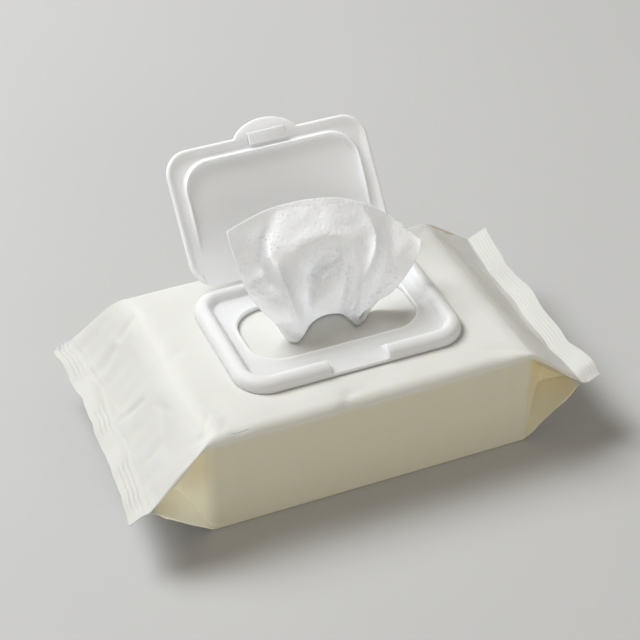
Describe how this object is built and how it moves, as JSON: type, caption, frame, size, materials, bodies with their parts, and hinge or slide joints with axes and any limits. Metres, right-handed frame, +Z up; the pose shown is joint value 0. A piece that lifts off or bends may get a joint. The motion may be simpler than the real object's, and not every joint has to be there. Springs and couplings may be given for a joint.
{
  "type": "wet wipes pack",
  "caption": "Soft film pack of wet wipes with crimped ends, a hinged white flip-top standing open on it and one wipe drawn up through the opening.",
  "frame": {"origin": "on the flat underside, below the middle of the flip-top's frame", "axes": "+X runs along the pack from one sealed end to the other, +Y points to the hinge side, +Z is up"},
  "size_m": [0.2168, 0.1376, 0.1186],
  "materials": {
    "film": "satin cream film with a white core",
    "wipes": "damp white nonwoven",
    "flip_top_frame": "satin white moulded polypropylene",
    "flip_top_lid": "thin translucent white polypropylene"
  },
  "bodies": {
    "pack": {"film_pouch": "film", "wipe_stack": "wipes", "drawn_wipe": "wipes", "lid_base": "flip_top_frame"},
    "lid": {"lid": "flip_top_lid"}
  },
  "joints": [
    {"name": "lid_hinge", "type": "hinge", "parent": "pack", "child": "lid", "pos_m": [0, 0.0332, 0.0566], "axis": [1, 0, 0], "range_deg": [0, 129.5], "deforming": ["drawn_wipe"]}
  ]
}
